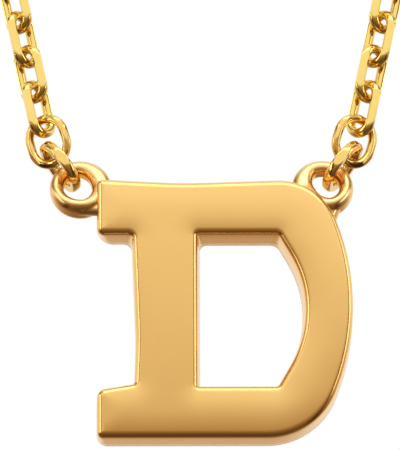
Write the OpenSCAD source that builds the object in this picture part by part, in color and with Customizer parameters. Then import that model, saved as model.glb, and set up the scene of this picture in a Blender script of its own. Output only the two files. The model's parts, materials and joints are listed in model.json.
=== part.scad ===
// Initial pendant necklace: a block letter D held between the two ends of a fine cable chain.
// Millimetres, +Z up, the front faces -Y, and the origin is the chain's middle at the nape.

/* [Letter] */
// Height of the letter's front
letter_h = 11.7; // [10.5:0.1:13]
// Width of the letter's front
letter_w = 11.3; // [10.5:0.1:12.5]
// Thickness of the letter from front to back
letter_depth = 2.1; // [1.6:0.1:2.6]
// How far the slab serifs stand out from the stem
serif_out = 1.55; // [1:0.05:1.9]
// Width of the stem
stem_w = 2.9; // [2.4:0.1:3.4]
// Height of the top bar and of its serif
top_bar_h = 2.55; // [2:0.05:3]
// Height of the bottom bar
foot_bar_h = 2.3; // [1.9:0.05:2.8]
// Height of the foot serif at its outer end
foot_serif_h = 2.15; // [1.7:0.05:2.4]
// Thickness of the bowl's wall at its widest
bowl_wall = 2.1; // [1.7:0.05:2.5]
// Round of the front edges
edge_round = 0.2; // [0.1:0.02:0.26]
// How much larger the back is than the front, on each side
draft = 0.1; // [0:0.02:0.16]

/* [Loops] */
// Outer diameter of a soldered loop
loop_d = 2.74; // [2.5:0.02:2.9]
// Thickness of a loop's wire across the hole
loop_wire = 0.62; // [0.5:0.01:0.66]
// Depth of a loop's wire from front to back
loop_depth = 0.82; // [0.7:0.02:0.9]
// How far the left loop's middle stands out from the letter's left edge
loop_out = 0.75; // [0.6:0.05:0.95]
// How far the right loop's middle lies in from the letter's right edge
loop_in = 1.29; // [1.1:0.01:1.4]
// How far the loops' middles lie below the letter's top
loop_drop = 0.25; // [0:0.05:0.5]
// How far the loops' middles lie in front of the letter's back
loop_inset = 0.9; // [0.6:0.05:1.2]
// Angle at which the loops lean back
loop_lean = 20; // [6:1:28]

/* [Rings] */
// Outer diameter of a jump ring
jump_d = 2.6; // [2.5:0.02:2.9]
// Wire of a jump ring
jump_wire = 0.38; // [0.3:0.01:0.41]
// Lean of the jump rings from the vertical
jump_lean = 38; // [25:1:45]
// Turn of the jump rings from edge-on
jump_turn = 5; // [2:1:10]
// Length of an end ring
end_l = 2.5; // [2.4:0.02:2.8]
// Width of an end ring
end_w = 2.12; // [2:0.02:2.3]
// Wire of an end ring
end_wire = 0.38; // [0.3:0.01:0.4]
// Lean of the end rings from the vertical
end_lean = 16; // [8:1:22]
// Turn of the end rings away from the front
end_turn = 26; // [20:1:28]

/* [Chain] */
// Length of the whole closed necklace
necklace_l = 406; // [380:1:420]
// Distance from link to link
link_pitch = 1.68; // [1.64:0.01:1.9]
// Width of a link before its sides are planed
link_w = 1.64; // [1.58:0.02:1.8]
// Wire of a link
link_wire = 0.4; // [0.32:0.01:0.42]
// Width of the chain across its planed sides
planed_w = 1.2; // [1.12:0.02:1.4]
// Lean of the chain from the vertical beside the pendant
chain_lean = 12; // [6:1:20]
// Height over which the chain hangs straight before it bends back
front_drop = 60; // [40:1:80]
// Angle through which the chain bends back up to the nape
nape_bend = 60; // [40:1:75]

/* [Clasp] */
// Outer diameter of the clasp's ring
clasp_d = 5; // [4.5:0.1:6]
// Wire of the clasp's ring
clasp_wire = 0.56; // [0.45:0.01:0.58]
// Thickness of the clasp's spring tube
clasp_tube = 0.91; // [0.75:0.01:1]
// Outer diameter of the clasp's eye
eye_d = 2.5; // [2.4:0.05:2.8]
// Wire of the clasp's eye
eye_wire = 0.5; // [0.4:0.02:0.54]

/* [Fit] */
// Free space between two links of the chain, or a link and what holds it
link_play = 0.18; // [0.16:0.01:0.2]
// Free space between a loop and its jump ring, in which the pendant swings
swing_play = 0.2; // [0.17:0.01:0.22]
// Free space between a jump ring and its end ring, which cross at a slant
slant_play = 0.5; // [0.46:0.01:0.52]

/* [Hidden] */
$fn = 32;

// Columns of a corner table
X = 0;
Z = 1;
FRONT_R = 2;
BACK_R = 3;
// Smallest corner radius that keeps its points apart
sharp_r = 0.04;
// Points on each corner's arc
arc_steps = 7;
// Steps of the front edge's round
round_steps = 4;

// The bowl's outer side is one long arc whose ends lean in by this angle
bowl_arc_r = 0.9 * letter_h;
bowl_arc_lean = 21.6;
bowl_middle_z = 0.515 * letter_h;
// Radii of the bowl's two shoulders
bowl_top_r = 0.23 * letter_h;
bowl_foot_r = 0.28 * letter_h;
// The counter's curved side is a tighter arc
counter_top = letter_h - top_bar_h;
counter_h = counter_top - foot_bar_h;
counter_arc_r = 0.73 * counter_h;
counter_arc_lean = 30;
counter_middle_z = foot_bar_h + 0.505 * counter_h;
counter_right = letter_w - bowl_wall;
stem_right = serif_out + stem_w;
// How far polishing has dished the top edge and the stem's side
top_dish = 0.2;
stem_dish = 0.18;
stem_foot_dish = 0.1;
// Rise of the foot serif's top from its outer end to the stem
foot_serif_rise = 0.27;

function unit(v) = v / norm(v);
function spin(v, angle) = [v.x * cos(angle) - v.y * sin(angle), v.x * sin(angle) + v.y * cos(angle)];

// Where the lines at both ends of an arc of radius r meet, right of the arc's outermost point
function arc_corner_x(right, r, lean) = right + r * (1 / cos(lean) - 1);

// Where such a line reaches a height
function arc_line_x(corner_x, middle_z, lean, z) = corner_x - abs(z - middle_z) * tan(lean);

bowl_corner_x = arc_corner_x(letter_w, bowl_arc_r, bowl_arc_lean);
counter_corner_x = arc_corner_x(counter_right, counter_arc_r, counter_arc_lean);

// The letter's outline, counter-clockwise: x, z, radius at the front, radius at the back
outer_corners = [
    [0, 0, 0.25, 0.45],
    [arc_line_x(bowl_corner_x, bowl_middle_z, bowl_arc_lean, 0), 0, bowl_foot_r, bowl_foot_r],
    [bowl_corner_x, bowl_middle_z, bowl_arc_r, bowl_arc_r],
    [arc_line_x(bowl_corner_x, bowl_middle_z, bowl_arc_lean, letter_h), letter_h, bowl_top_r, bowl_top_r],
    [0.33 * letter_w, letter_h - top_dish, 25, 25],
    [0, letter_h, 0.22, 0.3],
    [0, letter_h - top_bar_h, 0.3, 0.7],
    [serif_out, letter_h - top_bar_h, 0.2, 0.4],
    [serif_out + stem_dish, 0.38 * letter_h, 14, 14],
    [serif_out + stem_foot_dish, foot_serif_h + foot_serif_rise, 0.15, 0.25],
    [0, foot_serif_h, 0.4, 0.55],
];

// The counter's outline, counter-clockwise
counter_corners = [
    [stem_right, foot_bar_h, 0.06, 0.4],
    [arc_line_x(counter_corner_x, counter_middle_z, counter_arc_lean, foot_bar_h), foot_bar_h, 0.2, 0.7],
    [counter_corner_x, counter_middle_z, counter_arc_r, counter_arc_r],
    [arc_line_x(counter_corner_x, counter_middle_z, counter_arc_lean, counter_top), counter_top, 0.25, 1.2],
    [stem_right, counter_top, 0.06, 0.4],
];

// A corner table's outline with its edges moved out by grow, at a share of the way to the back
function outline(corners, grow, back_share) = [
    for (i = [0:len(corners) - 1])
        let (
            count = len(corners),
            here = corners[i],
            before = corners[(i + count - 1) % count],
            after = corners[(i + 1) % count],
            way_in = unit([here[X] - before[X], here[Z] - before[Z]]),
            way_out = unit([after[X] - here[X], after[Z] - here[Z]]),
            side = way_in.x * way_out.y > way_in.y * way_out.x ? 1 : -1,
            turn = acos(way_in * way_out),
            table_r = here[FRONT_R] + (here[BACK_R] - here[FRONT_R]) * back_share,
            r = max(sharp_r, table_r + side * grow),
            away = (spin(way_in, -90) + spin(way_out, -90)) / (1 + way_in * way_out),
            point = [here[X], here[Z]] + grow * away,
            start = point - way_in * r * tan(turn / 2),
            middle = start + side * r * spin(way_in, 90)
        )
        for (k = [0:arc_steps])
            middle + r * spin(way_in, side * (turn * k / arc_steps - 90))
];

// Layers of a wall from front to back: depth, growth of the metal, share of the way to the back
back_round = 0.06;
wall_layers = [
    for (k = [0:round_steps])
        let (angle = 90 * k / round_steps)
        [edge_round * (1 - cos(angle)), -edge_round * (1 - sin(angle)), 0],
    [letter_depth - back_round, draft, 1],
    [letter_depth, draft - back_round, 1],
];

// Whether a point lies left of the line from a to b
function left_of(a, b, point) = (b.x - a.x) * (point.y - a.y) - (b.y - a.y) * (point.x - a.x) > 1e-9;

// Whether the corner at place i of a ring of point numbers can be cut off as a triangle
function is_ear(ring, points, i) =
    let (
        count = len(ring),
        a = points[ring[(i + count - 1) % count]],
        b = points[ring[i]],
        c = points[ring[(i + 1) % count]]
    )
    left_of(a, b, c) && len([
        for (number = ring)
            let (p = points[number])
            if (p != a && p != b && p != c && !left_of(b, a, p) && !left_of(c, b, p) && !left_of(a, c, p))
                number
    ]) == 0;
function first_ear(ring, points, i = 0) = is_ear(ring, points, i) ? i : first_ear(ring, points, i + 1);

// The triangles that fill a counter-clockwise ring
function triangles(ring, points) =
    len(ring) == 3 ? [ring] :
    let (
        count = len(ring),
        i = first_ear(ring, points),
        ear = [ring[(i + count - 1) % count], ring[i], ring[(i + 1) % count]],
        rest = [for (k = [0:count - 1]) if (k != i) ring[k]]
    )
    concat([ear], triangles(rest, points));

// The triangles of a wall between the layers, for count points from the number first on
function wall_faces(first, count, layer_size) = [
    for (k = [0:len(wall_layers) - 2])
        for (j = [0:count - 1])
            let (
                a = k * layer_size + first + j,
                b = k * layer_size + first + (j + 1) % count
            )
            each [[a, b, b + layer_size], [a, b + layer_size, a + layer_size]]
];

// The letter with its counter: both outlines in layers from front to back, joined by a seam in the caps
module letter_block() {
    outer_count = len(outer_corners) * (arc_steps + 1);
    counter_count = len(counter_corners) * (arc_steps + 1);
    layer_size = outer_count + counter_count;
    outlines = [
        for (layer = wall_layers)
            concat(outline(outer_corners, layer[1], layer[2]), outline(counter_corners, -layer[1], layer[2]))
    ];
    seam = floor(arc_steps / 2);
    cap_ring = concat(
        [for (k = [0:outer_count]) (seam + k) % outer_count],
        [for (k = [0:counter_count]) outer_count + (seam + counter_count - k) % counter_count]
    );
    last = len(wall_layers) - 1;
    polyhedron(
        points = [
            for (k = [0:last])
                for (p = outlines[k])
                    [p.x, wall_layers[k][0] - letter_depth, p.y]
        ],
        faces = [
            for (t = triangles(cap_ring, outlines[0])) [t[2], t[1], t[0]],
            for (t = triangles(cap_ring, outlines[last])) [for (number = t) last * layer_size + number],
            for (face = wall_faces(0, outer_count, layer_size)) face,
            for (face = wall_faces(outer_count, counter_count, layer_size)) [face[2], face[1], face[0]],
        ],
        convexity = 8
    );
}

// Section of a loop's wire, rounded at the front and back
module loop_section(wire, depth) {
    square([wire, depth - wire], center = true);
    for (k = [-1, 1])
        translate([0, k * (depth - wire) / 2])
            circle(d = wire);
}

// The span of the loops' middles, their wire's middle line, and where a jump ring carries it
loop_span = letter_w + loop_out - loop_in;
loop_r = (loop_d - loop_wire) / 2;
carry_x = loop_span / 2 + loop_r * sin(jump_lean);
swing_y = loop_r * cos(jump_lean) * sin(loop_lean) - loop_inset;
swing_z = letter_h - loop_drop + loop_r * cos(jump_lean) * cos(loop_lean);

// The letter hangs turned until its weight lies under the loops
hang_angle = atan((swing_y + letter_depth / 2) / (swing_z - letter_h / 2));

// Depth to which a solder bar reaches into the letter
solder_reach = 0.6;
// How much smaller a solder bar is than the loop's wire
solder_step = 0.06;
// Place round the right loop, and length, of the bar that joins it to the bowl's shoulder
neck_angle = 62;
neck_l = 1.5;

// A loop about its own middle, leaning back, with a solder bar from its lower side to the letter
module solder_loop(bar_angle, bar_l) {
    rotate([90 - loop_lean, 0, 0]) {
        rotate_extrude() translate([loop_r, 0]) loop_section(loop_wire, loop_depth);
        rotate(bar_angle) translate([0, -loop_r, 0]) rotate([90, 0, 90])
            linear_extrude(bar_l) loop_section(loop_wire - solder_step, loop_depth - solder_step);
    }
}

// The letter and its two loops, soldered together
module initial_letter() {
    loop_z = letter_h - loop_drop;
    color("#E8B866")
    translate([0, -nape_y, -nape_z])
    rotate([hang_angle, 0, 0])
    translate([loop_out - loop_span / 2, -swing_y, -swing_z]) {
        letter_block();
        translate([-loop_out, -loop_inset, loop_z]) solder_loop(0, loop_out + solder_reach);
        translate([letter_w - loop_in, -loop_inset, loop_z]) mirror([1, 0, 0])
            solder_loop(-neck_angle, neck_l);
    }
}

// Eight-sided section of a ring's wire
module ring_section(wire) {
    rotate(22.5) circle(d = wire / cos(22.5), $fn = 8);
}

// Directions along a jump ring and along an end ring on the right side
jump_way = [sin(jump_lean), cos(jump_lean)];
end_way = [sin(end_lean), cos(end_lean)];
jump_middle = [carry_x, 0] + jump_way * (jump_d / 2 - jump_wire - loop_wire / 2 - swing_play);
// How far outwards an end ring hangs from the point where the jump ring holds it
end_slip = 0.11;
end_hold = jump_middle + jump_way * (jump_d / 2 - jump_wire - end_wire / 2 - slant_play);
end_middle = end_hold + end_way * (end_l - end_wire) / 2 + [end_slip * cos(end_lean), -end_slip * sin(end_lean)];

// Carries what is drawn about the swing axis, with the right side mirrored to the left
module at_pendant(left) {
    translate([0, -nape_y, -nape_z]) mirror([left ? 1 : 0, 0, 0]) children();
}

module jump_ring(left) {
    color("#D9A63E")
    at_pendant(left)
    translate([jump_middle.x, 0, jump_middle.y])
    rotate(a = -jump_turn, v = [jump_way.x, 0, jump_way.y])
    rotate([0, 90 + jump_lean, 0])
    rotate_extrude() translate([(jump_d - jump_wire) / 2, 0]) ring_section(jump_wire);
}

// An upright oval ring in the XZ plane
module oval_ring(length, width, wire) {
    r = (width - wire) / 2;
    for (k = [0, 1])
        rotate([0, 180 * k, 0]) {
            translate([0, 0, (length - width) / 2]) rotate([90, 0, 0])
                rotate_extrude(angle = 180) translate([r, 0]) ring_section(wire);
            translate([r, 0, 0]) linear_extrude(length - width, center = true) ring_section(wire);
        }
}

module end_ring(left) {
    color("#D9A63E")
    at_pendant(left)
    translate([end_middle.x, 0, end_middle.y])
    rotate([0, end_lean, 0])
    rotate([0, 0, end_turn])
    oval_ring(end_l, end_w, end_wire);
}

// Outline of a straight-sided oval along Z
module stadium(length, width) {
    square([width, length - width], center = true);
    for (k = [-1, 1])
        translate([0, k * (length - width) / 2])
            circle(d = width);
}

// How far a bend of inner radius r closes in over a wire's half width
function bend_sag(r, half) = r - sqrt(r * r - half * half);

link_sag = bend_sag(link_w / 2 - link_wire, link_wire / 2);
link_l = link_pitch + 2 * link_wire + 2 * link_sag + link_play;
// Distance from a link's middle to the inside of its end
link_in = link_l / 2 - link_wire;

// A flat-sided link in the XZ plane, planed on four sides at 45 degrees to its plane
module link() {
    intersection() {
        rotate([90, 0, 0]) linear_extrude(link_wire, center = true)
            difference() {
                stadium(link_l, link_w);
                stadium(link_l - 2 * link_wire, link_w - 2 * link_wire);
            }
        rotate([0, 0, 45]) cube([planed_w, planed_w, 2 * link_l], center = true);
    }
}

// How far a link's bend closes in over the clasp's bolt
clasp_sag = bend_sag(link_w / 2 - link_wire, clasp_wire / 2);
eye_middle = (clasp_d - clasp_wire) / 2 + (eye_d - eye_wire) / 2;
right_reach = clasp_d / 2 - clasp_wire - clasp_sag - link_play + link_in;
left_reach = eye_middle + eye_d / 2 - eye_wire - clasp_sag - link_play + link_in;
clasp_x = (left_reach - right_reach) / 2;
last_reach = (left_reach + right_reach) / 2;

// One side of the chain lies on a sheet: straight up and outwards, then in an arc to the nape
chain_out = 0.12;
start_x = end_middle.x + chain_out;
start_v = end_middle.y;
side_l = necklace_l / 2 - start_x;
arc_angle = 90 + chain_lean;
arc_share = arc_angle * PI / 180;
straight_l = (side_l - start_x * arc_share / cos(chain_lean)) / (1 + tan(chain_lean) * arc_share);
arc_r = (start_x + straight_l * sin(chain_lean)) / cos(chain_lean);
arc_middle_v = start_v + straight_l * cos(chain_lean) + arc_r * sin(chain_lean);
// Rise of the arc over the clasp, which lies straight between the two last links
clasp_drop = arc_r - sqrt(arc_r * arc_r - last_reach * last_reach);

// Angle round the arc's middle at a distance along the side
function arc_place(s) = (s - straight_l) / arc_r * 180 / PI - chain_lean;
function on_straight(s) = s < straight_l;

// Place and direction on the sheet, across and up
function sheet_place(s) = on_straight(s)
    ? [start_x + s * sin(chain_lean), start_v + s * cos(chain_lean)]
    : [arc_r * cos(arc_place(s)), arc_middle_v + arc_r * sin(arc_place(s))];
function sheet_way(s) = on_straight(s)
    ? [sin(chain_lean), cos(chain_lean)]
    : [-sin(arc_place(s)), cos(arc_place(s))];

// The sheet hangs straight over the front drop and then bends back
bend_r = (arc_middle_v + arc_r - front_drop) / (nape_bend * PI / 180);
function bend_at(v) = max(0, v - front_drop) / bend_r * 180 / PI;
function back_at(v) = bend_r * (1 - cos(bend_at(v)));
function up_at(v) = min(v, front_drop) + bend_r * sin(bend_at(v));
nape_y = back_at(arc_middle_v + arc_r);
nape_z = up_at(arc_middle_v + arc_r);

// Frame of a link at a distance along the side, turned about the chain
function link_frame(s, turn) =
    let (
        place = sheet_place(s),
        way = sheet_way(s),
        bend = bend_at(place.y),
        along = [way.x, way.y * sin(bend), way.y * cos(bend)],
        across = [way.y, -way.x * sin(bend), -way.x * cos(bend)],
        back = cross(along, across),
        width = across * cos(turn) + back * sin(turn),
        depth = back * cos(turn) - across * sin(turn)
    )
    [
        [width.x, depth.x, along.x, place.x],
        [width.y, depth.y, along.y, back_at(place.y) - nape_y],
        [width.z, depth.z, along.z, up_at(place.y) - nape_z],
        [0, 0, 0, 1],
    ];

// The first link hangs in its end ring, and the last one reaches the clasp
end_sag = bend_sag(end_w / 2 - end_wire, link_wire * sqrt(0.5));
first_s = end_l / 2 - end_wire - end_sag + link_in - link_sag - link_play;
last_s = side_l - last_reach;
link_count = round((last_s - first_s) / link_pitch) + 1;
link_step = (last_s - first_s) / (link_count - 1);
function link_turn(i) = i % 2 == 0 ? -45 : 45;

module chain(left) {
    color("#E3B437")
    mirror([left ? 1 : 0, 0, 0])
    for (i = [0:link_count - 1])
        multmatrix(link_frame(first_s + i * link_step, link_turn(i))) link();
}

// The clasp at the nape: a bolt ring with a spring tube, a thumb knob and an eye.
// It lies across the last link, which hooks its bolt.
module clasp() {
    bolt_angle = 50;
    knob_angle = bolt_angle + 20;
    ring_r = (clasp_d - clasp_wire) / 2;
    color("#D9A63E")
    translate([0, -clasp_drop * sin(nape_bend), -clasp_drop * cos(nape_bend)])
    rotate([90 - nape_bend + link_turn(link_count - 1), 0, 0])
    translate([clasp_x, 0, 0]) {
        rotate_extrude() translate([ring_r, 0]) circle(d = clasp_wire);
        rotate(bolt_angle) rotate_extrude(angle = 360 - 2 * bolt_angle)
            translate([ring_r, 0]) circle(d = clasp_tube);
        rotate(knob_angle) translate([ring_r, 0, 0]) rotate([0, 90, 0])
            cylinder(d = clasp_wire, h = 1.2 * clasp_tube);
        translate([-eye_middle, 0, 0]) rotate_extrude()
            translate([(eye_d - eye_wire) / 2, 0]) circle(d = eye_wire);
    }
}

initial_letter();
jump_ring(true);  // jump_ring_left
jump_ring(false);  // jump_ring_right
end_ring(true);  // end_ring_left
end_ring(false);  // end_ring_right
chain(true);  // chain_left
chain(false);  // chain_right
clasp();
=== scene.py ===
"""Dresses the initial pendant necklace: the polished letter with its soldered loops, the rings,
the planed cable chain and the clasp, under soft studio light."""

import json
import math

import bmesh
import bpy
import numpy as np
from mathutils import Matrix, Vector
from mathutils.geometry import area_tri, delaunay_2d_cdt

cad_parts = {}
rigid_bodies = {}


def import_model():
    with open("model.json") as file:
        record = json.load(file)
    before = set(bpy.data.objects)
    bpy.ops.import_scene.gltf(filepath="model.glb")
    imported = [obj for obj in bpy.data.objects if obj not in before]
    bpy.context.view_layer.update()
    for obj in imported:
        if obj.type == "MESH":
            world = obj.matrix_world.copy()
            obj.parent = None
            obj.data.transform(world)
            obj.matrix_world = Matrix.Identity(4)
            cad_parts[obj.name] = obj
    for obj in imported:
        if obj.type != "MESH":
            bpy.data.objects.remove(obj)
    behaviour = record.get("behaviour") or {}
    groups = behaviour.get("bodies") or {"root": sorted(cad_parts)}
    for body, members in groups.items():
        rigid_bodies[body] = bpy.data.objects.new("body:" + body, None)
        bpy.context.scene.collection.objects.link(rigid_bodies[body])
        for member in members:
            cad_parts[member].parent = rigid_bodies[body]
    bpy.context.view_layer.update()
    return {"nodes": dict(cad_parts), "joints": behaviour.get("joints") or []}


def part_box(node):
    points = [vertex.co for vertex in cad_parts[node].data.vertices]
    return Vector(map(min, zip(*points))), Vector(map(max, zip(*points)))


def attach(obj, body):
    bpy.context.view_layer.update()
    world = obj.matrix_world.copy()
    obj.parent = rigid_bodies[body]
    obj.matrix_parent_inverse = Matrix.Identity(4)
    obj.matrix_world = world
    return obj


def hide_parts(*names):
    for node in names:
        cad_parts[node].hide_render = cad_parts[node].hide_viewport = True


bl_info = {
    "name": "Initial Pendant Necklace",
    "version": (1, 0, 0),
    "blender": (4, 5, 0),
    "location": "3D View > Sidebar > Necklace",
    "description": "Builds the visible pieces of a gold initial necklace and its studio",
    "category": "Add Mesh",
}

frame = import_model()
MM = 0.001
SWING = Vector(frame["joints"][0]["pos_m"])
PENDANT_BODY = frame["joints"][0]["child"]
CHAIN_BODY = frame["joints"][0]["parent"]
SIDES = {"left": -1, "right": 1}


def length(name, description, default):
    """A size in metres, given here in millimetres."""
    return bpy.props.FloatProperty(
        name=name, description=description, default=default * MM, min=0, unit="LENGTH", precision=5
    )


def turn(name, description, default):
    """An angle, given here in degrees."""
    return bpy.props.FloatProperty(
        name=name, description=description, default=math.radians(default), subtype="ANGLE"
    )


def share(name, description, default):
    """A number between 0 and 1."""
    return bpy.props.FloatProperty(name=name, description=description, default=default, min=0, max=1)


def offset(name, description, default):
    """A place in metres that may lie below zero, given here in millimetres."""
    return bpy.props.FloatProperty(
        name=name, description=description, default=default * MM, unit="LENGTH", precision=5
    )


def colour(name, description, default):
    """A linear colour."""
    return bpy.props.FloatVectorProperty(
        name=name, description=description, default=default, subtype="COLOR", size=3, min=0, max=1
    )


class LetterSizes(bpy.types.PropertyGroup):
    """Sizes of the block letter, in its own frame: left edge, back and foot at zero."""

    height: length("Height", "Height of the letter's front", 11.7)
    width: length("Width", "Width of the letter's front", 11.3)
    depth: length("Depth", "Thickness from front to back", 2.1)
    serif_out: length("Serif Reach", "How far the slab serifs stand out from the stem", 1.55)
    stem_w: length("Stem", "Width of the stem", 2.9)
    top_bar_h: length("Top Bar", "Height of the top bar and its serif", 2.55)
    foot_bar_h: length("Foot Bar", "Height of the foot bar", 2.3)
    foot_serif_h: length("Foot Serif", "Height of the foot serif at its outer end", 2.15)
    bowl_wall: length("Bowl Wall", "Thickness of the bowl at its widest", 2.1)
    edge_round: length("Edge Round", "Radius of the front edges", 0.3)
    back_round: length("Back Round", "Radius of the back edges", 0.08)
    draft: length("Draft", "How much larger the back is than the front on each side", 0.04)
    counter_draft: length("Counter Draft", "How much narrower the counter is at the back", 0.1)
    crown: length("Crown", "How far the face falls away towards the letter's top and foot", 0.09)
    pillow_h: length("Pillow Height", "How far polishing has lowered the face at its edges", 0.035)
    pillow_w: length("Pillow Width", "How far in from the edges polishing reaches", 0.85)
    face_step: length("Face Step", "Distance between points on the front face", 0.3)


class LoopSizes(bpy.types.PropertyGroup):
    """Sizes of the two loops that are soldered behind the letter's upper corners."""

    outer_d: length("Diameter", "Outer diameter of a loop", 2.74)
    wire: length("Wire", "Thickness of the wire across the hole", 0.62)
    wire_depth: length("Wire Depth", "Depth of the wire from front to back", 0.82)
    out: length("Left Reach", "How far the left loop's middle stands out from the letter", 0.75)
    inward: length("Right Inset", "How far the right loop's middle lies in from the right edge", 1.29)
    drop: length("Drop", "How far the loops' middles lie below the letter's top", 0.25)
    inset: length("Inset", "How far the loops' middles lie in front of the letter's back", 0.9)
    lean: turn("Lean", "How far the loops lean back", 20)
    carry: turn("Carry", "Where round the loop the jump ring hangs, from the top", 38)
    left_swell: length("Left Swell", "How much thicker the left loop is where it is cast on", 0.26)
    right_swell: length("Right Swell", "How much thicker the right loop is where it is cast on", 0.42)
    deeper_foot: share("Deeper Foot", "How much deeper the wire is at a loop's foot, as a share", 0.4)
    left_heavy: turn("Left Heavy Side", "Where round the left loop it is thickest, from the right", 10)
    right_heavy: turn("Right Heavy Side", "Where round the right loop it is thickest, from the right", 205)
    voxel: length("Solder Grain", "Voxel size at which loop and solder flow together", 0.036)


class RingSizes(bpy.types.PropertyGroup):
    """Sizes of the jump rings and the end rings."""

    jump_d: length("Jump Ring", "Outer diameter of a jump ring", 2.6)
    jump_wire: length("Jump Wire", "Wire of a jump ring, towards its middle", 0.4)
    jump_broad: length("Jump Breadth", "Wire of a jump ring, along its axis", 0.52)
    jump_turn: turn("Jump Turn", "Turn of the jump rings from edge-on", 5)
    end_l: length("End Ring Length", "Length of an end ring", 2.5)
    end_w: length("End Ring Width", "Width of an end ring", 2.12)
    end_wire: length("End Wire", "Wire of an end ring", 0.4)
    end_lean: turn("End Lean", "Lean of the end rings from the vertical", 16)
    end_turn: turn("End Turn", "Turn of the end rings away from the front", 26)
    planed: length("Planed Depth", "Depth of the flats cut into the rings", 0.075)


class ChainSizes(bpy.types.PropertyGroup):
    """Sizes of one link of the cable chain. The links' places are read from the frame."""

    link_l: length("Link Length", "Outer length of a link", 2.76)
    link_w: length("Link Width", "Width of a link before it is planed", 1.66)
    wire_w: length("Wire Width", "Wire of a link, in the link's plane", 0.44)
    wire_depth: length("Wire Depth", "Wire of a link, across the link's plane", 0.5)
    planed_w: length("Planed Width", "Width of the chain across its planed sides", 1.2)
    close_h: length("Close Height", "Height over the pendant up to which links are finely made", 14)
    link_slack: turn("Link Slack", "How far a link may turn about its length by its looseness", 3)


class GoldColours(bpy.types.PropertyGroup):
    """Colours and polish of the three golds."""

    letter: colour("Letter", "Gold of the letter", (0.93, 0.595, 0.21))
    loops: colour("Loops", "Gold of the soldered loops", (0.92, 0.6, 0.25))
    rings: colour("Rings", "Gold of the rings", (0.88, 0.6, 0.19))
    chain: colour("Chain", "Gold of the chain", (0.9, 0.66, 0.2))
    letter_rough: share("Letter Roughness", "Roughness of the letter's polish", 0.22)
    loop_rough: share("Loop Roughness", "Roughness of the loops' polish", 0.25)
    chain_rough: share("Chain Roughness", "Roughness of the chain's polish", 0.1)


class StudioSettings(bpy.types.PropertyGroup):
    """Camera and light of the studio."""

    camera_far: length("Camera Distance", "Distance from the camera to the pendant", 300)
    elevation: turn("Elevation", "Height of the camera over the pendant's level", -17)
    azimuth: turn("Azimuth", "Turn of the camera to the right", -0.4)
    roll: turn("Roll", "Roll of the camera", -0.2)
    view_h: length("View Height", "Height of the picture at the pendant", 20)
    aim_x: offset("Aim Right", "How far right of the middle the camera looks", -0.07)
    aim_z: offset("Aim Up", "How far over the swing axis the camera looks", -2.4)
    floor_z: offset("Floor", "Height of the floor over the origin", -300)


SETTINGS = {
    "necklace_letter": LetterSizes,
    "necklace_loops": LoopSizes,
    "necklace_rings": RingSizes,
    "necklace_chain": ChainSizes,
    "necklace_gold": GoldColours,
    "necklace_studio": StudioSettings,
}


# Meshes

SAME_POINT = 0.0005 * MM
SMOOTH_BELOW = math.radians(32)


def new_piece(name, vertices, faces, material):
    """A finished mesh object from points and faces."""
    mesh = bpy.data.meshes.new(name)
    mesh.from_pydata([tuple(v) for v in vertices], [], faces)
    return finished(name, mesh, material)


def finished(name, mesh, material):
    """Puts a mesh in the scene with doubles merged and faces outwards, smooth up to sharp edges."""
    shell = bmesh.new()
    shell.from_mesh(mesh)
    bmesh.ops.remove_doubles(shell, verts=shell.verts, dist=SAME_POINT)
    bmesh.ops.recalc_face_normals(shell, faces=shell.faces)
    for edge in shell.edges:
        edge.smooth = edge.calc_face_angle(0) < SMOOTH_BELOW
    for face in shell.faces:
        face.smooth = True
    shell.to_mesh(mesh)
    shell.free()
    mesh.materials.clear()
    mesh.materials.append(material)
    piece = bpy.data.objects.new(name, mesh)
    bpy.context.scene.collection.objects.link(piece)
    return piece


def applied(piece):
    """Turns a piece with live modifiers into a plain mesh."""
    bpy.context.view_layer.update()
    depsgraph = bpy.context.evaluated_depsgraph_get()
    mesh = bpy.data.meshes.new_from_object(piece.evaluated_get(depsgraph))
    piece.modifiers.clear()
    piece.data = mesh
    return piece


def sit(piece, body, slot, *nodes):
    """Lets a piece ride on its body, in place of the frame's nodes."""
    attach(piece, body)
    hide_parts(*nodes)
    return piece


def oval_section(width, depth, count):
    """A wire's section: its width across the ring and its depth along the ring's axis."""
    end_r = min(width, depth) / 2
    straight = max(0, depth - width) / 2
    points = []
    for k in range(count):
        angle = 2 * math.pi * k / count
        end = straight if math.sin(angle) > 0 else -straight
        points.append((math.cos(angle) * width / 2, math.sin(angle) * end_r + end))
    return points


def oval_path(long_side, width, wire, count):
    """Middle line of an oval ring in the XZ plane: points with their outward directions."""
    r = (width - wire) / 2
    rise = (long_side - width) / 2
    path = []
    for k in range(count):
        angle = 2 * math.pi * k / count
        outward = Vector((math.cos(angle), 0, math.sin(angle)))
        lift = rise if math.sin(angle) > 1e-9 else -rise
        path.append((outward * r + Vector((0, 0, lift)), outward))
    return path


def swept_ring(path, section):
    """Points and faces of a closed ring whose section follows a path in the XZ plane."""
    across = Vector((0, 1, 0))
    vertices = [
        point + outward * u + across * v
        for point, outward in path
        for u, v in section
    ]
    rows = len(path)
    size = len(section)
    faces = []
    for i in range(rows):
        for j in range(size):
            a = i * size + j
            b = i * size + (j + 1) % size
            c = (i + 1) % rows * size + (j + 1) % size
            d = (i + 1) % rows * size + j
            faces.append((a, b, c, d))
    return vertices, faces


def planed(vertices, planes):
    """Presses points that lie beyond a plane back onto it, as a flat that is cut into the metal."""
    flat = []
    for vertex in vertices:
        place = Vector(vertex)
        for normal, reach in planes:
            beyond = place.dot(normal) - reach
            if beyond > 0:
                place = place - normal * beyond
        flat.append(place)
    return flat


# Letter

FRONT_ARC_STEPS = 7
BACK_ARC_STEPS = 2
WALL_STEPS = 4
CORNER_STEP = 3.5
SHARP_R = 0.04 * MM
FLAT_SHARE = 1e-4
GRID_ROW_SHARE = 0.87
GRID_CLEAR_SHARE = 0.5

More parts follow.
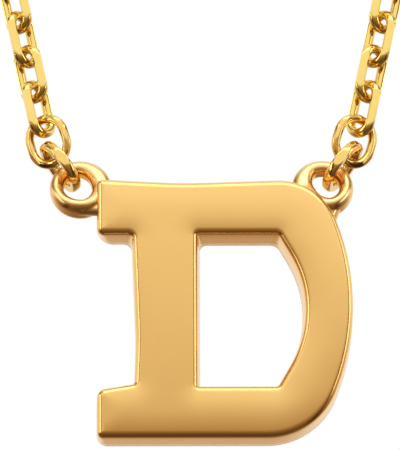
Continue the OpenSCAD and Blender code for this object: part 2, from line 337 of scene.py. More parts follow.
# The bowl, and its corners at the top and foot, as shares of the letter's height
BOWL_R = 0.9
BOWL_MIDDLE = 0.515
BOWL_LEAN = math.radians(21.6)
BOWL_TOP_R = 0.23
BOWL_FOOT_R = 0.28

# The counter's curved side, as shares of the counter's height
COUNTER_R = 0.73
COUNTER_MIDDLE = 0.505
COUNTER_LEAN = math.radians(30)

# How polishing has hollowed the letter's top edge
TOP_HOLLOW_PLACE = 0.33
TOP_HOLLOW = 0.2 * MM
TOP_HOLLOW_R = 25 * MM


def arc_corner(right, r, lean):
    """Where the lines at both ends of an arc meet, right of its outermost point."""
    return right + r * (1 / math.cos(lean) - 1)


def arc_line(corner, middle_z, lean, z):
    """Where such a line reaches a height."""
    return corner - abs(z - middle_z) * math.tan(lean)


def outer_corners(s):
    """Corners of the letter's outline, counter-clockwise: x, z, radius in front, radius at the back."""
    bowl_r = BOWL_R * s.height
    middle = BOWL_MIDDLE * s.height
    corner = arc_corner(s.width, bowl_r, BOWL_LEAN)
    top_r = BOWL_TOP_R * s.height
    foot_r = BOWL_FOOT_R * s.height
    return [
        (0, 0, 0.25 * MM, 0.45 * MM),
        (arc_line(corner, middle, BOWL_LEAN, 0), 0, foot_r, foot_r),
        (corner, middle, bowl_r, bowl_r),
        (arc_line(corner, middle, BOWL_LEAN, s.height), s.height, top_r, top_r),
        (TOP_HOLLOW_PLACE * s.width, s.height - TOP_HOLLOW, TOP_HOLLOW_R, TOP_HOLLOW_R),
        (0, s.height, 0.22 * MM, 0.3 * MM),
        (0, s.height - s.top_bar_h, 0.3 * MM, 0.7 * MM),
        (s.serif_out, s.height - s.top_bar_h, 0.2 * MM, 0.4 * MM),
        (s.serif_out + 0.18 * MM, 0.38 * s.height, 14 * MM, 14 * MM),
        (s.serif_out + 0.1 * MM, s.foot_serif_h + 0.27 * MM, 0.15 * MM, 0.25 * MM),
        (0, s.foot_serif_h, 0.4 * MM, 0.55 * MM),
    ]


def counter_corners(s):
    """Corners of the counter's outline, counter-clockwise, with the same four values each."""
    top = s.height - s.top_bar_h
    tall = top - s.foot_bar_h
    arc_r = COUNTER_R * tall
    middle = s.foot_bar_h + COUNTER_MIDDLE * tall
    corner = arc_corner(s.width - s.bowl_wall, arc_r, COUNTER_LEAN)
    stem_right = s.serif_out + s.stem_w
    return [
        (stem_right, s.foot_bar_h, 0.06 * MM, 0.4 * MM),
        (arc_line(corner, middle, COUNTER_LEAN, s.foot_bar_h), s.foot_bar_h, 0.2 * MM, 0.7 * MM),
        (corner, middle, arc_r, arc_r),
        (arc_line(corner, middle, COUNTER_LEAN, top), top, 0.25 * MM, 0.6 * MM),
        (stem_right, top, 0.06 * MM, 0.4 * MM),
    ]


def turned(vector, angle):
    """A flat vector turned counter-clockwise."""
    return Vector((
        vector.x * math.cos(angle) - vector.y * math.sin(angle),
        vector.x * math.sin(angle) + vector.y * math.cos(angle),
    ))


def corner_arc(before, here, after, grow, back_share):
    """Points on the rounded corner of an outline whose edges are moved out by grow."""
    at = Vector(here[:2])
    way_in = (at - Vector(before[:2])).normalized()
    way_out = (Vector(after[:2]) - at).normalized()
    side = 1 if way_in.cross(way_out) > 0 else -1
    bend = math.acos(max(-1, min(1, way_in.dot(way_out))))
    r = max(SHARP_R, here[2] + (here[3] - here[2]) * back_share + side * grow)
    right = -math.pi / 2
    away = (turned(way_in, right) + turned(way_out, right)) / (1 + way_in.dot(way_out))
    start = at + away * grow - way_in * (r * math.tan(bend / 2))
    middle = start + turned(way_in, -right) * (side * r)
    steps = max(4, math.ceil(math.degrees(bend) / CORNER_STEP))
    return [
        middle + turned(way_in, side * (bend * k / steps) + side * right) * r
        for k in range(steps + 1)
    ]


def outline(corners, grow, back_share, step):
    """Points of a corner table's outline, with its straight runs cut to about one step."""
    count = len(corners)
    plain = [corner_arc(corners[i - 1], corners[i], corners[(i + 1) % count], 0, 0) for i in range(count)]
    arcs = [
        corner_arc(corners[i - 1], corners[i], corners[(i + 1) % count], grow, back_share)
        for i in range(count)
    ]
    points = []
    for i in range(count):
        points.extend(arcs[i])
        here = arcs[i][-1]
        there = arcs[(i + 1) % count][0]
        gap = (plain[(i + 1) % count][0] - plain[i][-1]).length
        cuts = max(1, round(gap / step))
        points.extend(here.lerp(there, k / cuts) for k in range(1, cuts))
    return points


def inside(points, ring):
    """Which of the points lie inside a closed ring."""
    ring = np.array(ring)
    after = np.roll(ring, -1, axis=0)
    x, z = points[:, 0:1], points[:, 1:2]
    crosses = (ring[:, 1] > z) != (after[:, 1] > z)
    rise = np.where(after[:, 1] == ring[:, 1], 1e-12, after[:, 1] - ring[:, 1])
    at = ring[:, 0] + (z - ring[:, 1]) * (after[:, 0] - ring[:, 0]) / rise
    return (crosses & (x < at)).sum(axis=1) % 2 == 1


def edge_distance(points, rings):
    """Distance from each point to the nearest edge of the rings."""
    nearest = np.full(len(points), 1.0)
    for ring in rings:
        a = np.array(ring)
        b = np.roll(a, -1, axis=0)
        run = b - a
        size = np.maximum((run ** 2).sum(axis=1), 1e-18)
        along = ((points[:, None, :] - a) * run).sum(axis=2) / size
        foot = a + run * np.clip(along, 0, 1)[:, :, None]
        nearest = np.minimum(nearest, np.sqrt(((points[:, None, :] - foot) ** 2).sum(axis=2)).min(axis=1))
    return nearest


def on_a_line(a, b, c):
    """Whether a triangle is only a crack beside a straight run of an outline."""
    longest = max((a - b).length, (b - c).length, (c - a).length)
    return area_tri(a, b, c) < FLAT_SHARE * longest ** 2


def face_triangles(outer, counter, step):
    """Triangles between two rings, with an even grid of points between them if a step is given.
    The points are the outer ring's, the counter's and then the grid's."""
    rings = [[tuple(p) for p in outer], [tuple(p) for p in counter]]
    points = np.array(rings[0] + rings[1])
    edges = []
    first = 0
    for ring in rings:
        edges += [(first + k, first + (k + 1) % len(ring)) for k in range(len(ring))]
        first += len(ring)
    if step:
        low, high = points.min(axis=0), points.max(axis=0)
        grid = np.array([
            (x + (row % 2) * step / 2, z)
            for row, z in enumerate(np.arange(low[1], high[1], step * GRID_ROW_SHARE))
            for x in np.arange(low[0], high[0], step)
        ])
        free = inside(grid, rings[0]) & ~inside(grid, rings[1])
        free &= edge_distance(grid, rings) > step * GRID_CLEAR_SHARE
        points = np.vstack([points, grid[free]])
    flat = [Vector(p) / MM for p in points]
    places, _, found, sources, _, _ = delaunay_2d_cdt(flat, edges, [], 0, 1e-6)
    number_of = [min(source) for source in sources]
    middles = np.array([sum((places[k] for k in face), Vector((0, 0))) / len(face) * MM for face in found])
    kept = inside(middles, rings[0]) & ~inside(middles, rings[1])
    kept &= ~np.array([on_a_line(*(places[k] for k in face)) for face in found])
    return points, [tuple(number_of[k] for k in face) for face, keep in zip(found, kept) if keep]


def letter_layers(s):
    """Layers of the wall from front to back: depth, growth of the metal, share of the way back."""
    layers = []
    for k in range(FRONT_ARC_STEPS + 1):
        angle = math.pi / 2 * k / FRONT_ARC_STEPS
        depth = s.pillow_h + s.edge_round * (1 - math.cos(angle))
        layers.append((depth, -s.edge_round * (1 - math.sin(angle)), 0))
    for k in range(1, WALL_STEPS):
        layers.append((s.depth * k / WALL_STEPS, 0, k / WALL_STEPS))
    for k in range(BACK_ARC_STEPS + 1):
        angle = math.pi / 2 * k / BACK_ARC_STEPS
        depth = s.depth - s.back_round * (1 - math.sin(angle))
        layers.append((depth, -s.back_round * (1 - math.cos(angle)), 1))
    return layers


def letter_mesh(s):
    """Points and faces of the letter in its own frame."""
    vertices = []
    faces = []
    layers = letter_layers(s)
    rings = [
        (
            outline(outer_corners(s), grow + s.draft * back, back, s.face_step),
            outline(counter_corners(s), -grow - s.counter_draft * back, back, s.face_step),
        )
        for depth, grow, back in layers
    ]
    outer_count = len(rings[0][0])
    layer_size = outer_count + len(rings[0][1])
    for (depth, grow, back), (outer, counter) in zip(layers, rings):
        vertices += [Vector((p.x, depth - s.depth, p.y)) for p in outer + counter]
    for k in range(len(layers) - 1):
        for start, count in ((0, outer_count), (outer_count, layer_size - outer_count)):
            for j in range(count):
                a = k * layer_size + start + j
                b = k * layer_size + start + (j + 1) % count
                faces.append((a, b, b + layer_size, a + layer_size))
    front_points, front_faces = face_triangles(*rings[0], s.face_step)
    distance = edge_distance(front_points, [[tuple(p) for p in ring] for ring in rings[0]])
    fall = np.clip(1 - distance / s.pillow_w, 0, 1) ** 2 * s.pillow_h
    first = len(vertices)
    for (x, z), depth in zip(front_points[layer_size:], fall[layer_size:]):
        vertices.append(Vector((x, depth - s.depth, z)))
    renumber = [k if k < layer_size else first + k - layer_size for k in range(len(front_points))]
    faces += [tuple(renumber[k] for k in face) for face in front_faces]
    last = (len(layers) - 1) * layer_size
    _, back_faces = face_triangles(*rings[-1], 0)
    faces += [tuple(last + k for k in face) for face in back_faces]
    for vertex in vertices:
        off_middle = 2 * vertex.z / s.height - 1
        vertex.y += s.crown * off_middle ** 2 * -vertex.y / s.depth
    return vertices, faces


def swing_point(letter, loops):
    """The swing axis in the letter's own frame: back, up, and half the span of the loops."""
    r = (loops.outer_d - loops.wire) / 2
    back = r * math.cos(loops.carry) * math.sin(loops.lean) - loops.inset
    up = letter.height - loops.drop + r * math.cos(loops.carry) * math.cos(loops.lean)
    span = letter.width + loops.out - loops.inward
    return back, up, span


def letter_place(letter, loops):
    """Matrix from the letter's own frame to its hanging place."""
    back, up, span = swing_point(letter, loops)
    hang = math.atan((back + letter.depth / 2) / (up - letter.height / 2))
    own = Matrix.Translation((loops.out - span / 2, -back, -up))
    return Matrix.Translation((0, SWING.y, SWING.z)) @ Matrix.Rotation(hang, 4, "X") @ own


# Loops

BAR_SIDES = 28
BALL_RINGS = 16


def add_bar(shell, start, end, start_r, end_r, depth_share, lean):
    """A round-ended tapered bar, deeper than it is wide, in a loop that leans back."""
    middle = (start + end) / 2
    way = (end - start).normalized()
    normal = Vector((0, -math.cos(lean), -math.sin(lean))).normalized()
    side = way.cross(normal).normalized()
    deep = side.cross(way).normalized()
    place = Matrix((side, deep, way)).transposed().to_4x4()
    place = Matrix.Translation(middle) @ place @ Matrix.Diagonal((1, depth_share, 1, 1))
    bmesh.ops.create_cone(
        shell,
        cap_ends=True,
        segments=BAR_SIDES,
        radius1=start_r,
        radius2=end_r,
        depth=(end - start).length,
        matrix=place,
    )
    for at, r in ((start, start_r), (end, end_r)):
        ball = Matrix.Translation(at) @ place.to_3x3().normalized().to_4x4()
        ball = ball @ Matrix.Diagonal((1, depth_share, 1, 1))
        bmesh.ops.create_uvsphere(
            shell, u_segments=BAR_SIDES, v_segments=BALL_RINGS, radius=r, matrix=ball
        )


def loop_point(sizes, angle, middle, side):
    """A point on a loop's wire, at an angle from the foot of the loop towards the letter."""
    r = (sizes.outer_d - sizes.wire) / 2
    across = side * r * math.sin(angle)
    up = -r * math.cos(angle)
    return middle + Vector((across, up * math.sin(sizes.lean), up * math.cos(sizes.lean)))


def solder_bars(sizes, middle, side):
    """Bars from a loop to the letter: start, end, and shares of the wire's radii and depth."""
    foot = loop_point(sizes, 0, middle, side)
    if side > 0:
        in_letter = foot + Vector((sizes.out + 0.5 * MM, 0, 0))
        flare = in_letter - Vector((0.75 * MM, 0, 0))
        return [
            (foot, in_letter, 0.95, 1.05, 1),
            (flare, in_letter, 0.8, 1.5, 1),
        ]
    outer = loop_point(sizes, math.radians(-30), middle, side)
    inner = loop_point(sizes, math.radians(35), middle, side)
    down = Vector((0, 0, -0.6 * MM))
    return [
        (outer, outer + Vector((-0.5 * MM, 0, -0.75 * MM)), 1, 1.7, 0.8),
        (inner, inner + down, 0.9, 1.2, 1),
        (foot, foot + down, 0.95, 1.3, 1),
    ]


def solder_beads(sizes, middle, side):
    """Places and radii of the small beads along the right loop's solder."""
    before_wire = Vector((0, -0.36 * MM, -0.3 * MM))
    beads = () if side > 0 else ((38, 0.1), (22, 0.075), (6, 0.11), (-8, 0.08))
    return [
        (loop_point(sizes, math.radians(angle), middle, side) + before_wire, r * MM)
        for angle, r in beads
    ]


def loop_mesh(sizes, middle, side):
    """Shells of one loop and its solder, before they flow together. Side is 1 left and -1 right."""
    lean = Matrix.Rotation(-sizes.lean, 4, "X")
    path = oval_path(sizes.outer_d, sizes.outer_d, sizes.wire, 72)
    section = oval_section(sizes.wire, sizes.wire_depth, BAR_SIDES)
    vertices, faces = swept_ring(path, section)
    swell = sizes.left_swell if side > 0 else sizes.right_swell
    heavy = sizes.left_heavy if side > 0 else sizes.right_heavy
    heavy_way = Vector((math.cos(heavy), 0, math.sin(heavy)))
    for k, vertex in enumerate(vertices):
        outward = path[k // len(section)][1]
        inner_share = 0.5 - section[k % len(section)][0] / sizes.wire
        vertex -= outward * (swell * inner_share * max(0, outward.dot(heavy_way)))
        vertex.y *= 1 + sizes.deeper_foot * max(0, -outward.z)
    shell = bmesh.new()
    points = [shell.verts.new(middle + lean @ v) for v in vertices]
    for face in faces:
        shell.faces.new([points[k] for k in face])
    r = sizes.wire / 2
    for start, end, start_share, end_share, depth_share in solder_bars(sizes, middle, side):
        deep = sizes.wire_depth / sizes.wire * depth_share
        add_bar(shell, start, end, r * start_share, r * end_share, deep, sizes.lean)
    for at, bead_r in solder_beads(sizes, middle, side):
        spot = Matrix.Translation(at)
        bmesh.ops.create_uvsphere(shell, u_segments=16, v_segments=10, radius=bead_r, matrix=spot)
    return shell


def flowed(name, shell, voxel, material):
    """Melts overlapping shells into one and smooths the joints, as solder flows."""
    mesh = bpy.data.meshes.new(name)
    bmesh.ops.recalc_face_normals(shell, faces=shell.faces)
    shell.to_mesh(mesh)
    shell.free()
    piece = bpy.data.objects.new(name, mesh)
    bpy.context.scene.collection.objects.link(piece)
    melt = piece.modifiers.new("Melt", "REMESH")
    melt.mode = "VOXEL"
    melt.voxel_size = voxel
    flow = piece.modifiers.new("Flow", "SMOOTH")
    flow.factor = 0.5
    flow.iterations = 9
    applied(piece)
    mesh = piece.data
    bpy.data.objects.remove(piece)
    return finished(name, mesh, material)


# Rings

RING_STEPS = 96
RING_SIDES = 20
JUMP_FACE_CUT = 0.035 * MM
END_FLATS = 8
END_FLAT_CUT = 0.03 * MM
END_FLAT_TILT = 0.42


def at_box_middle(node):
    """Matrix that moves to the middle of a frame node's box."""
    low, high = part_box(node)
    return Matrix.Translation((low + high) / 2)


def jump_place(loops, rings, side):
    """Matrix of a jump ring, whose own ring stands in the XZ plane."""
    sign = SIDES[side]
    way = Vector((sign * math.sin(loops.carry), 0, math.cos(loops.carry)))
    across = Vector((0, 1, 0))
    normal = way.cross(across).normalized()
    place = Matrix((across, normal, way)).transposed().to_4x4()
    swivel = Matrix.Rotation(-sign * rings.jump_turn, 4, way)
    return at_box_middle(f"jump_ring_{side}") @ swivel @ place


def end_place(rings, side):
    """Matrix of an end ring, whose own ring stands in the XZ plane."""
    lean = Matrix.Rotation(SIDES[side] * rings.end_lean, 4, "Y")
    swivel = Matrix.Rotation(SIDES[side] * rings.end_turn, 4, "Z")
    return at_box_middle(f"end_ring_{side}") @ lean @ swivel


def jump_mesh(rings):
    """A round ring with flats cut into it front and back, and two at its sides."""
    path = oval_path(rings.jump_d, rings.jump_d, rings.jump_wire, RING_STEPS)
    section = oval_section(rings.jump_wire, rings.jump_broad, RING_SIDES)
    vertices, faces = swept_ring(path, section)
    rim = rings.jump_d / 2 - rings.planed
    flats = [(Vector((x, 0, 0)), rim) for x in (-1, 1)]
    face = rings.jump_broad / 2 - JUMP_FACE_CUT
    flats += [(Vector((0, y, 0)), face) for y in (-1, 1)]
    return planed(vertices, flats), faces


def end_mesh(rings):
    """An oval ring with short flats cut round its face."""
    path = oval_path(rings.end_l, rings.end_w, rings.end_wire, RING_STEPS)
    section = oval_section(rings.end_wire, rings.end_wire, RING_SIDES)
    vertices, faces = swept_ring(path, section)
    flats = []
    for k in range(END_FLATS):
        angle = math.radians(360 / END_FLATS * (k + 0.5))
        outward = Vector((math.cos(angle), 0, math.sin(angle)))
        middle = outward * (rings.end_w - rings.end_wire) / 2
        middle.z += math.copysign((rings.end_l - rings.end_w) / 2, outward.z)
        for face in (-1, 1):
            normal = (outward * END_FLAT_TILT + Vector((0, face, 0))).normalized()
            flats.append((normal, middle.dot(normal) + rings.end_wire / 2 - END_FLAT_CUT))
    return planed(vertices, flats), faces


# Chain

CHAIN_SEED = 4
LINK_SIZES = {
    "Link Length": "link_l",
    "Link Width": "link_w",
    "Wire Width": "wire_w",
    "Wire Depth": "wire_depth",
    "Planed Width": "planed_w",
}

# Steps round a bend and sides of the wire, of links near the pendant and of links further up
CLOSE_LINK = (9, 16)
FAR_LINK = (2, 6)


def link_frames(node):
    """Middle, lengthwise and widthwise directions of each loose link in a frame node, lowest first."""
    shell = bmesh.new()
    shell.from_mesh(frame["nodes"][node].data)
    bmesh.ops.remove_doubles(shell, verts=shell.verts, dist=0.0002 * MM)
    shell.faces.ensure_lookup_table()
    seen = set()
    frames = []
    for face in shell.faces:
        if face.index in seen:
            continue
        island = []
        queue = [face]
        seen.add(face.index)
        while queue:
            here = queue.pop()
            island.append(here)
            for edge in here.edges:
                for other in edge.link_faces:
                    if other.index not in seen:
                        seen.add(other.index)
                        queue.append(other)
        areas = np.array([f.calc_area() for f in island])
        middles = np.array([f.calc_center_median() for f in island])
        middle = (middles * areas[:, None]).sum(axis=0) / areas.sum()
        away = middles - middle
        _, ways = np.linalg.eigh((away * areas[:, None]).T @ away)
        frames.append((middle, ways[:, 2], ways[:, 1]))
    shell.free()
    return sorted(frames, key=lambda f: f[0][2])


def socket(tree, name, kind, default=None, output=False):
    """A named input or output of a node tree."""
    made = tree.interface.new_socket(name=name, in_out="OUTPUT" if output else "INPUT", socket_type=kind)
    if default is not None:
        made.default_value = default
    return made


def add(tree, kind, *inputs, **options):
    """A node with its options set, and its inputs linked or filled in order."""
    node = tree.nodes.new(kind)
    for name, value in options.items():
        setattr(node, name, value)
    for slot, value in zip((s for s in node.inputs if s.enabled), inputs):
        if value is None:
            continue
        if isinstance(value, bpy.types.NodeSocket):
            tree.links.new(value, slot)
        else:
            slot.default_value = value
    return node


def maths(tree, operation, *values):
    """The result of a Math node."""
    return add(tree, "ShaderNodeMath", *values, operation=operation).outputs[0]


def link_tree():
    """Node group that makes one link: a swept oval, planed on four sides."""
    tree = bpy.data.node_groups.new("Planed Link", "GeometryNodeTree")
    for name in LINK_SIZES:
        socket(tree, name, "NodeSocketFloat")
    socket(tree, "Bend Steps", "NodeSocketInt", 8)
    socket(tree, "Wire Sides", "NodeSocketInt", 10)
    socket(tree, "Geometry", "NodeSocketGeometry", output=True)
    given = tree.nodes.new("NodeGroupInput").outputs
    middle_w = maths(tree, "SUBTRACT", given["Link Width"], given["Wire Width"])
    middle_l = maths(tree, "SUBTRACT", given["Link Length"], given["Wire Width"])
    outline_curve = add(tree, "GeometryNodeCurvePrimitiveQuadrilateral", middle_w, middle_l)
    fillet = tree.nodes.new("GeometryNodeFilletCurve")
    fillet.mode = "POLY"
    tree.links.new(outline_curve.outputs[0], fillet.inputs["Curve"])
    tree.links.new(given["Bend Steps"], fillet.inputs["Count"])
    tree.links.new(maths(tree, "MULTIPLY", middle_w, 0.4999), fillet.inputs["Radius"])
    profile = tree.nodes.new("GeometryNodeCurvePrimitiveCircle")
    profile.inputs["Radius"].default_value = 0.5
    tree.links.new(given["Wire Sides"], profile.inputs["Resolution"])
    oval = add(tree, "ShaderNodeCombineXYZ", given["Wire Width"], given["Wire Depth"], 1.0).outputs[0]
    shaped = tree.nodes.new("GeometryNodeTransform")
    tree.links.new(profile.outputs[0], shaped.inputs["Geometry"])
    tree.links.new(oval, shaped.inputs["Scale"])
    swept = tree.nodes.new("GeometryNodeCurveToMesh")
    tree.links.new(fillet.outputs[0], swept.inputs["Curve"])
    tree.links.new(shaped.outputs[0], swept.inputs["Profile Curve"])
    place = tree.nodes.new("GeometryNodeInputPosition").outputs[0]
    parts = add(tree, "ShaderNodeSeparateXYZ", place).outputs
    reach = maths(tree, "MULTIPLY", given["Planed Width"], math.sqrt(0.5))
    spread = maths(tree, "ADD", maths(tree, "ABSOLUTE", parts[0]), maths(tree, "ABSOLUTE", parts[2]))
    beyond = maths(tree, "MAXIMUM", maths(tree, "SUBTRACT", spread, reach), 0.0)
    inward = maths(tree, "MULTIPLY", beyond, -0.5)
    shift_x = maths(tree, "MULTIPLY", maths(tree, "SIGN", parts[0]), inward)
    shift_z = maths(tree, "MULTIPLY", maths(tree, "SIGN", parts[2]), inward)
    shift = add(tree, "ShaderNodeCombineXYZ", shift_x, 0.0, shift_z).outputs[0]
    cut = tree.nodes.new("GeometryNodeSetPosition")
    tree.links.new(swept.outputs[0], cut.inputs["Geometry"])
    tree.links.new(shift, cut.inputs["Offset"])
    result = tree.nodes.new("NodeGroupOutput")
    tree.links.new(cut.outputs[0], result.inputs[0])
    return tree


def chain_tree(one_link):
    """Tree that sets a link on each point, finely made near the pendant and plainly further up."""
    tree = bpy.data.node_groups.new("Cable Chain", "GeometryNodeTree")
    socket(tree, "Geometry", "NodeSocketGeometry")
    for name in LINK_SIZES:
        socket(tree, name, "NodeSocketFloat")
    socket(tree, "Material", "NodeSocketMaterial")
    socket(tree, "Geometry", "NodeSocketGeometry", output=True)
    given = tree.nodes.new("NodeGroupInput").outputs
    points = add(tree, "GeometryNodeMeshToPoints", given["Geometry"]).outputs[0]

    def read(name, kind):
        attribute = tree.nodes.new("GeometryNodeInputNamedAttribute")
        attribute.data_type = kind
        attribute.inputs["Name"].default_value = name
        return attribute.outputs[0]

    facing = tree.nodes.new("FunctionNodeAxesToRotation")
    facing.primary_axis = "Y"
    facing.secondary_axis = "X"
    tree.links.new(read("lengthwise", "FLOAT_VECTOR"), facing.inputs[0])
    tree.links.new(read("widthwise", "FLOAT_VECTOR"), facing.inputs[1])
    joined = tree.nodes.new("GeometryNodeJoinGeometry")
    close = read("close", "BOOLEAN")
    far = add(tree, "FunctionNodeBooleanMath", close, operation="NOT").outputs[0]
    for chosen, (steps, sides) in ((close, CLOSE_LINK), (far, FAR_LINK)):
        link = tree.nodes.new("GeometryNodeGroup")
        link.node_tree = one_link
        for name in LINK_SIZES:
            tree.links.new(given[name], link.inputs[name])
        link.inputs["Bend Steps"].default_value = steps
        link.inputs["Wire Sides"].default_value = sides
        placed = tree.nodes.new("GeometryNodeInstanceOnPoints")
        tree.links.new(points, placed.inputs["Points"])
        tree.links.new(chosen, placed.inputs["Selection"])
        tree.links.new(link.outputs[0], placed.inputs["Instance"])
        tree.links.new(facing.outputs[0], placed.inputs["Rotation"])
        tree.links.new(placed.outputs[0], joined.inputs[0])
    real = add(tree, "GeometryNodeRealizeInstances", joined.outputs[0]).outputs[0]
    gilt = tree.nodes.new("GeometryNodeSetMaterial")
    tree.links.new(real, gilt.inputs["Geometry"])
    tree.links.new(given["Material"], gilt.inputs["Material"])
    result = tree.nodes.new("NodeGroupOutput")
    tree.links.new(gilt.outputs[0], result.inputs[0])
    return tree


def chain_piece(node, tree, sizes, material):
    """One side of the chain, as a plain mesh made by the tree on the links' places."""
    loose = np.random.default_rng(CHAIN_SEED)
    frames = []
    for middle, lengthwise, widthwise in link_frames(node):
        slack = Matrix.Rotation(loose.uniform(-1, 1) * sizes.link_slack, 3, Vector(lengthwise))
        frames.append((middle, lengthwise, slack @ Vector(widthwise)))
    mesh = bpy.data.meshes.new(node + "_links")
    mesh.from_pydata([tuple(f[0]) for f in frames], [], [])
    for name, column in (("lengthwise", 1), ("widthwise", 2)):
        layer = mesh.attributes.new(name, "FLOAT_VECTOR", "POINT")
        layer.data.foreach_set("vector", np.array([f[column] for f in frames], dtype=np.float32).ravel())
    layer = mesh.attributes.new("close", "BOOLEAN", "POINT")
    layer.data.foreach_set("value", [bool(f[0][2] < SWING.z + sizes.close_h) for f in frames])
    piece = bpy.data.objects.new(node + "_links", mesh)
    bpy.context.scene.collection.objects.link(piece)
    links = piece.modifiers.new("Links", "NODES")
    links.node_group = tree
    values = {name: getattr(sizes, key) for name, key in LINK_SIZES.items()}
    values["Material"] = material
    for item in tree.interface.items_tree:
        if item.in_out == "INPUT" and item.name in values:
            links[item.identifier] = values[item.name]
    applied(piece)
    mesh = piece.data
    name = piece.name
    bpy.data.objects.remove(piece)
    return finished(name, mesh, material)


# Materials

def polish_group():
    """Shader group for polished gold: fine wear in the roughness, ripples, and a drift of the colour."""
    tree = bpy.data.node_groups.new("Hand Polish", "ShaderNodeTree")
    socket(tree, "Colour", "NodeSocketColor", (0.8, 0.6, 0.2, 1))
    socket(tree, "Deep Colour", "NodeSocketColor", (0.6, 0.4, 0.1, 1))
    socket(tree, "Roughness", "NodeSocketFloat", 0.2)
    socket(tree, "Wear", "NodeSocketFloat", 0.05)
    socket(tree, "Ripple", "NodeSocketFloat", 0.1)
    socket(tree, "Ripple Scale", "NodeSocketFloat", 400.0)
    socket(tree, "Colour", "NodeSocketColor", output=True)
    socket(tree, "Roughness", "NodeSocketFloat", output=True)
    socket(tree, "Normal", "NodeSocketVector", output=True)
    given = tree.nodes.new("NodeGroupInput").outputs
    place = tree.nodes.new("ShaderNodeTexCoord").outputs["Object"]

    def noise(scale, detail):
        node = tree.nodes.new("ShaderNodeTexNoise")
        node.inputs["Detail"].default_value = detail
        tree.links.new(place, node.inputs["Vector"])
        if isinstance(scale, bpy.types.NodeSocket):
            tree.links.new(scale, node.inputs["Scale"])
        else:
            node.inputs["Scale"].default_value = scale
        return node.outputs[0]

    drift = noise(260.0, 2.0)
    fine = noise(5200.0, 3.0)
    mix = tree.nodes.new("ShaderNodeMix")
    mix.data_type = "RGBA"
    tree.links.new(drift, mix.inputs[0])
    tree.links.new(given["Colour"], mix.inputs[6])
    tree.links.new(given["Deep Colour"], mix.inputs[7])
    rubbed = maths(tree, "MULTIPLY", maths(tree, "SUBTRACT", fine, 0.5), given["Wear"])
    rough = maths(tree, "ADD", given["Roughness"], rubbed)
    bump = tree.nodes.new("ShaderNodeBump")
    bump.inputs["Distance"].default_value = 0.02 * MM
    tree.links.new(given["Ripple"], bump.inputs["Strength"])
    tree.links.new(noise(given["Ripple Scale"], 1.0), bump.inputs["Height"])
    result = tree.nodes.new("NodeGroupOutput")
    tree.links.new(mix.outputs[2], result.inputs["Colour"])
    tree.links.new(rough, result.inputs["Roughness"])
    tree.links.new(bump.outputs[0], result.inputs["Normal"])
    return tree


def gold(name, base, roughness, wear, ripple, ripple_scale):
    """A polished gold. Its deeper tone is what noise drifts towards."""
    material = bpy.data.materials.new(name)
    material.use_nodes = True
    tree = material.node_tree
    shader = next(n for n in tree.nodes if n.type == "BSDF_PRINCIPLED")
    shader.inputs["Metallic"].default_value = 1
    polish = tree.nodes.new("ShaderNodeGroup")
    polish.node_tree = bpy.data.node_groups.get("Hand Polish") or polish_group()
    polish.inputs["Colour"].default_value = (*base, 1)
    polish.inputs["Deep Colour"].default_value = (base[0] * 0.97, base[1] * 0.93, base[2] * 0.84, 1)
    polish.inputs["Roughness"].default_value = roughness
    polish.inputs["Wear"].default_value = wear
    polish.inputs["Ripple"].default_value = ripple
    polish.inputs["Ripple Scale"].default_value = ripple_scale
    tree.links.new(polish.outputs["Colour"], shader.inputs["Base Color"])
    tree.links.new(polish.outputs["Roughness"], shader.inputs["Roughness"])
    tree.links.new(polish.outputs["Normal"], shader.inputs["Normal"])
    material.diffuse_color = (*base, 1)
    return material


def golds(scene):
    """The golds of the necklace, made once."""
    tones = scene.necklace_gold
    if not bpy.data.materials.get("letter gold"):
        gold("letter gold", tones.letter, tones.letter_rough, 0.05, 0.12, 700)
        gold("loop gold", tones.loops, tones.loop_rough, 0.08, 0.5, 1500)
        gold("ring gold", tones.rings, tones.chain_rough, 0.1, 0.5, 2600)
        gold("chain gold", tones.chain, tones.chain_rough, 0.08, 0.35, 2200)
    return bpy.data.materials


# Operators

class NECKLACE_OT_letter(bpy.types.Operator):
    """Build the polished block letter"""

    bl_idname = "necklace.letter"
    bl_label = "Letter"

    def execute(self, context):
        scene = context.scene
        vertices, faces = letter_mesh(scene.necklace_letter)
        place = letter_place(scene.necklace_letter, scene.necklace_loops)
        points = [place @ v for v in vertices]
        piece = new_piece("polished_letter", points, faces, golds(scene)["letter gold"])
        sit(piece, PENDANT_BODY, "letter_gold", "initial_letter")
        return {"FINISHED"}


class NECKLACE_OT_loops(bpy.types.Operator):
    """Build the two loops and the solder that joins them to the letter"""

    bl_idname = "necklace.loops"
    bl_label = "Soldered Loops"

    def execute(self, context):
        scene = context.scene
        letter = scene.necklace_letter
        sizes = scene.necklace_loops
        place = letter_place(letter, sizes)
        z = letter.height - sizes.drop
        middles = {"left": -sizes.out, "right": letter.width - sizes.inward}
        for side, x in middles.items():
            shell = loop_mesh(sizes, Vector((x, -sizes.inset, z)), -SIDES[side])
            shell.transform(place)
            piece = flowed(f"soldered_loop_{side}", shell, sizes.voxel, golds(scene)["loop gold"])
            sit(piece, PENDANT_BODY, "letter_gold", "initial_letter")
        return {"FINISHED"}


class NECKLACE_OT_rings(bpy.types.Operator):
    """Build the jump rings and the end rings"""

    bl_idname = "necklace.rings"
    bl_label = "Rings"

    def execute(self, context):
        scene = context.scene
        rings = scene.necklace_rings
        for side in SIDES:
            for kind, place, (vertices, faces) in (
                ("jump_ring", jump_place(scene.necklace_loops, rings, side), jump_mesh(rings)),
                ("end_ring", end_place(rings, side), end_mesh(rings)),
            ):
                points = [place @ v for v in vertices]
                piece = new_piece(f"planed_{kind}_{side}", points, faces, golds(scene)["ring gold"])
                sit(piece, CHAIN_BODY, "ring_gold", f"{kind}_{side}")
        return {"FINISHED"}


